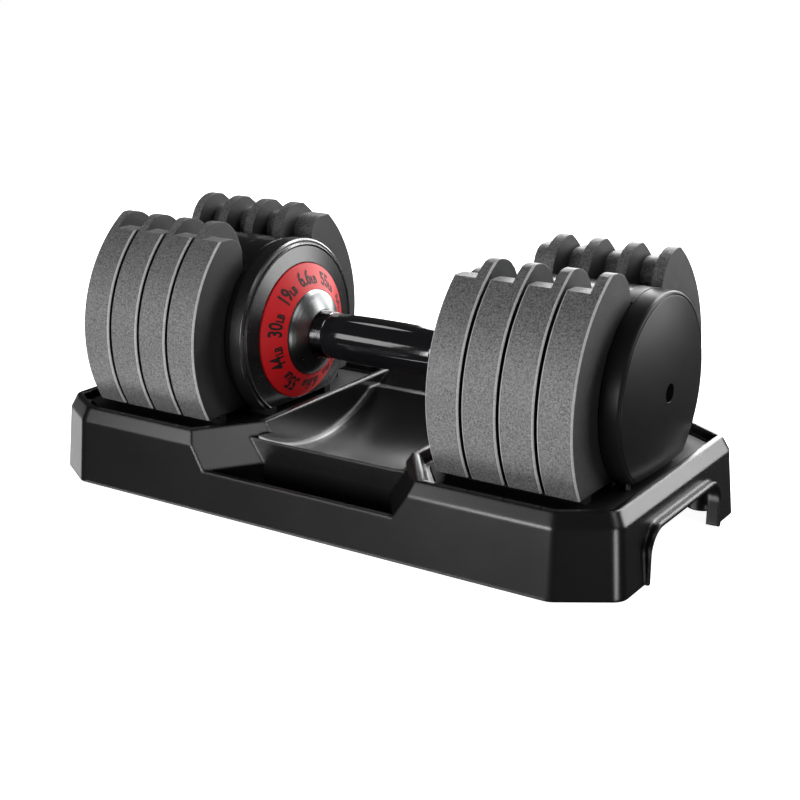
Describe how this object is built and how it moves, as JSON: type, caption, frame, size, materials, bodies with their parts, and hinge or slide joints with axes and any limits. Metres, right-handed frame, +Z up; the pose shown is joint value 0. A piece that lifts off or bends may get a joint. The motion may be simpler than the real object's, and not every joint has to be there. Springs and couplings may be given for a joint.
{
  "type": "adjustable dumbbell",
  "caption": "Adjustable dumbbell on a storage tray: a turning grip with dials picks up slotted plates nested around its core.",
  "frame": {"origin": "on the floor under the middle of the tray", "axes": "+X along the dumbbell toward its right-hand end, +Y toward the rear of the tray, +Z up; the low front wall faces -Y"},
  "size_m": [0.473, 0.2312, 0.1936],
  "materials": {
    "plate_iron": "black textured powder coat on the rim, smoother faces",
    "tray_plastic": "semi-gloss black moulding",
    "cradle_plastic": "matt black",
    "foot_rubber": "black rubber",
    "zinc_steel": "zinc plated",
    "grip_plastic": "polished black",
    "dial_red": "satin red",
    "collar_steel": "dark polished",
    "core_plastic": "glossy black",
    "cap_plastic": "satin black",
    "cover_plastic": "glossy black",
    "hub_plastic": "polished black",
    "bar_steel": "turned",
    "bush_bronze": "turned",
    "selector_steel": "phosphated",
    "spring_steel": "wire",
    "pin_steel": "hardened"
  },
  "bodies": {
    "tray": {"cradle_left": "cradle_plastic", "cradle_right": "cradle_plastic", "tray_feet": "foot_rubber", "tray_screws": "zinc_steel", "tray_shell": "tray_plastic"},
    "plate_right_4": {"plate_right_4": "plate_iron"},
    "plate_right_3": {"plate_right_3": "plate_iron"},
    "plate_right_2": {"plate_right_2": "plate_iron"},
    "plate_right_1": {"plate_right_1": "plate_iron"},
    "plate_left_4": {"plate_left_4": "plate_iron"},
    "plate_left_3": {"plate_left_3": "plate_iron"},
    "plate_left_2": {"plate_left_2": "plate_iron"},
    "plate_left_1": {"plate_left_1": "plate_iron"},
    "selector_rotor": {"bell_hub_left": "hub_plastic", "bell_hub_right": "hub_plastic", "collar_left": "collar_steel", "collar_right": "collar_steel", "dial_ring_left": "dial_red", "dial_ring_right": "dial_red", "grip": "grip_plastic", "grip_tube": "bar_steel", "index_wheel_left": "selector_steel", "index_wheel_right": "selector_steel", "selector_left_1": "selector_steel", "selector_left_2": "selector_steel", "selector_left_3": "selector_steel", "selector_left_4": "selector_steel", "selector_right_1": "selector_steel", "selector_right_2": "selector_steel", "selector_right_3": "selector_steel", "selector_right_4": "selector_steel"},
    "lock_pin_right": {"lock_pin_right": "pin_steel"},
    "lock_pin_left": {"lock_pin_left": "pin_steel"},
    "handle_frame": {"bush_left": "bush_bronze", "bush_right": "bush_bronze", "cap_bolt_left": "zinc_steel", "cap_bolt_right": "zinc_steel", "centre_rod": "bar_steel", "cover_screws_left": "zinc_steel", "cover_screws_right": "zinc_steel", "detent_left": "pin_steel", "detent_right": "pin_steel", "dial_cover_left": "cover_plastic", "dial_cover_right": "cover_plastic", "end_cap_left": "cap_plastic", "end_cap_right": "cap_plastic", "inner_housing_left": "core_plastic", "inner_housing_right": "core_plastic", "lock_spring_left": "spring_steel", "lock_spring_right": "spring_steel", "spacer_left_2": "core_plastic", "spacer_left_3": "core_plastic", "spacer_left_4": "core_plastic", "spacer_right_2": "core_plastic", "spacer_right_3": "core_plastic", "spacer_right_4": "core_plastic", "tie_bolts_left": "zinc_steel", "tie_bolts_right": "zinc_steel"}
  },
  "joints": [
    {"name": "plate_right_4_lift", "type": "slide", "parent": "tray", "child": "plate_right_4", "axis": [0, 0, 1], "range_m": [0, 0.15]},
    {"name": "plate_right_3_lift", "type": "slide", "parent": "plate_right_4", "child": "plate_right_3", "axis": [0, 0, 1], "range_m": [0, 0.15]},
    {"name": "plate_right_2_lift", "type": "slide", "parent": "plate_right_3", "child": "plate_right_2", "axis": [0, 0, 1], "range_m": [0, 0.15]},
    {"name": "plate_right_1_lift", "type": "slide", "parent": "plate_right_2", "child": "plate_right_1", "axis": [0, 0, 1], "range_m": [0, 0.15]},
    {"name": "handle_lift", "type": "slide", "parent": "plate_right_1", "child": "handle_frame", "axis": [0, 0, 1], "range_m": [0, 0.15]},
    {"name": "plate_left_4_lift", "type": "slide", "parent": "tray", "child": "plate_left_4", "axis": [0, 0, 1], "range_m": [0, 0.15]},
    {"name": "plate_left_3_lift", "type": "slide", "parent": "plate_left_4", "child": "plate_left_3", "axis": [0, 0, 1], "range_m": [0, 0.15]},
    {"name": "plate_left_2_lift", "type": "slide", "parent": "plate_left_3", "child": "plate_left_2", "axis": [0, 0, 1], "range_m": [0, 0.15]},
    {"name": "plate_left_1_lift", "type": "slide", "parent": "plate_left_2", "child": "plate_left_1", "axis": [0, 0, 1], "range_m": [0, 0.15]},
    {"name": "weight_select", "type": "hinge", "parent": "handle_frame", "child": "selector_rotor", "pos_m": [0, 0, 0.109], "axis": [-1, 0, 0], "range_deg": [0, 144]},
    {"name": "lock_pin_right_drop", "type": "slide", "parent": "handle_frame", "child": "lock_pin_right", "axis": [0, 0, 1], "range_m": [-0.0041, 0], "deforming": ["lock_spring_right"]},
    {"name": "lock_pin_left_drop", "type": "slide", "parent": "handle_frame", "child": "lock_pin_left", "axis": [0, 0, 1], "range_m": [-0.0041, 0], "deforming": ["lock_spring_left"]}
  ],
  "couplings": [
    {"joint": "plate_left_4_lift", "follows": "plate_right_4_lift", "ratio": 1},
    {"joint": "plate_left_3_lift", "follows": "plate_right_3_lift", "ratio": 1},
    {"joint": "plate_left_2_lift", "follows": "plate_right_2_lift", "ratio": 1},
    {"joint": "plate_left_1_lift", "follows": "plate_right_1_lift", "ratio": 1},
    {"joint": "lock_pin_right_drop", "follows": "handle_lift", "ratio": -0.0266},
    {"joint": "lock_pin_left_drop", "follows": "handle_lift", "ratio": -0.0266}
  ]
}
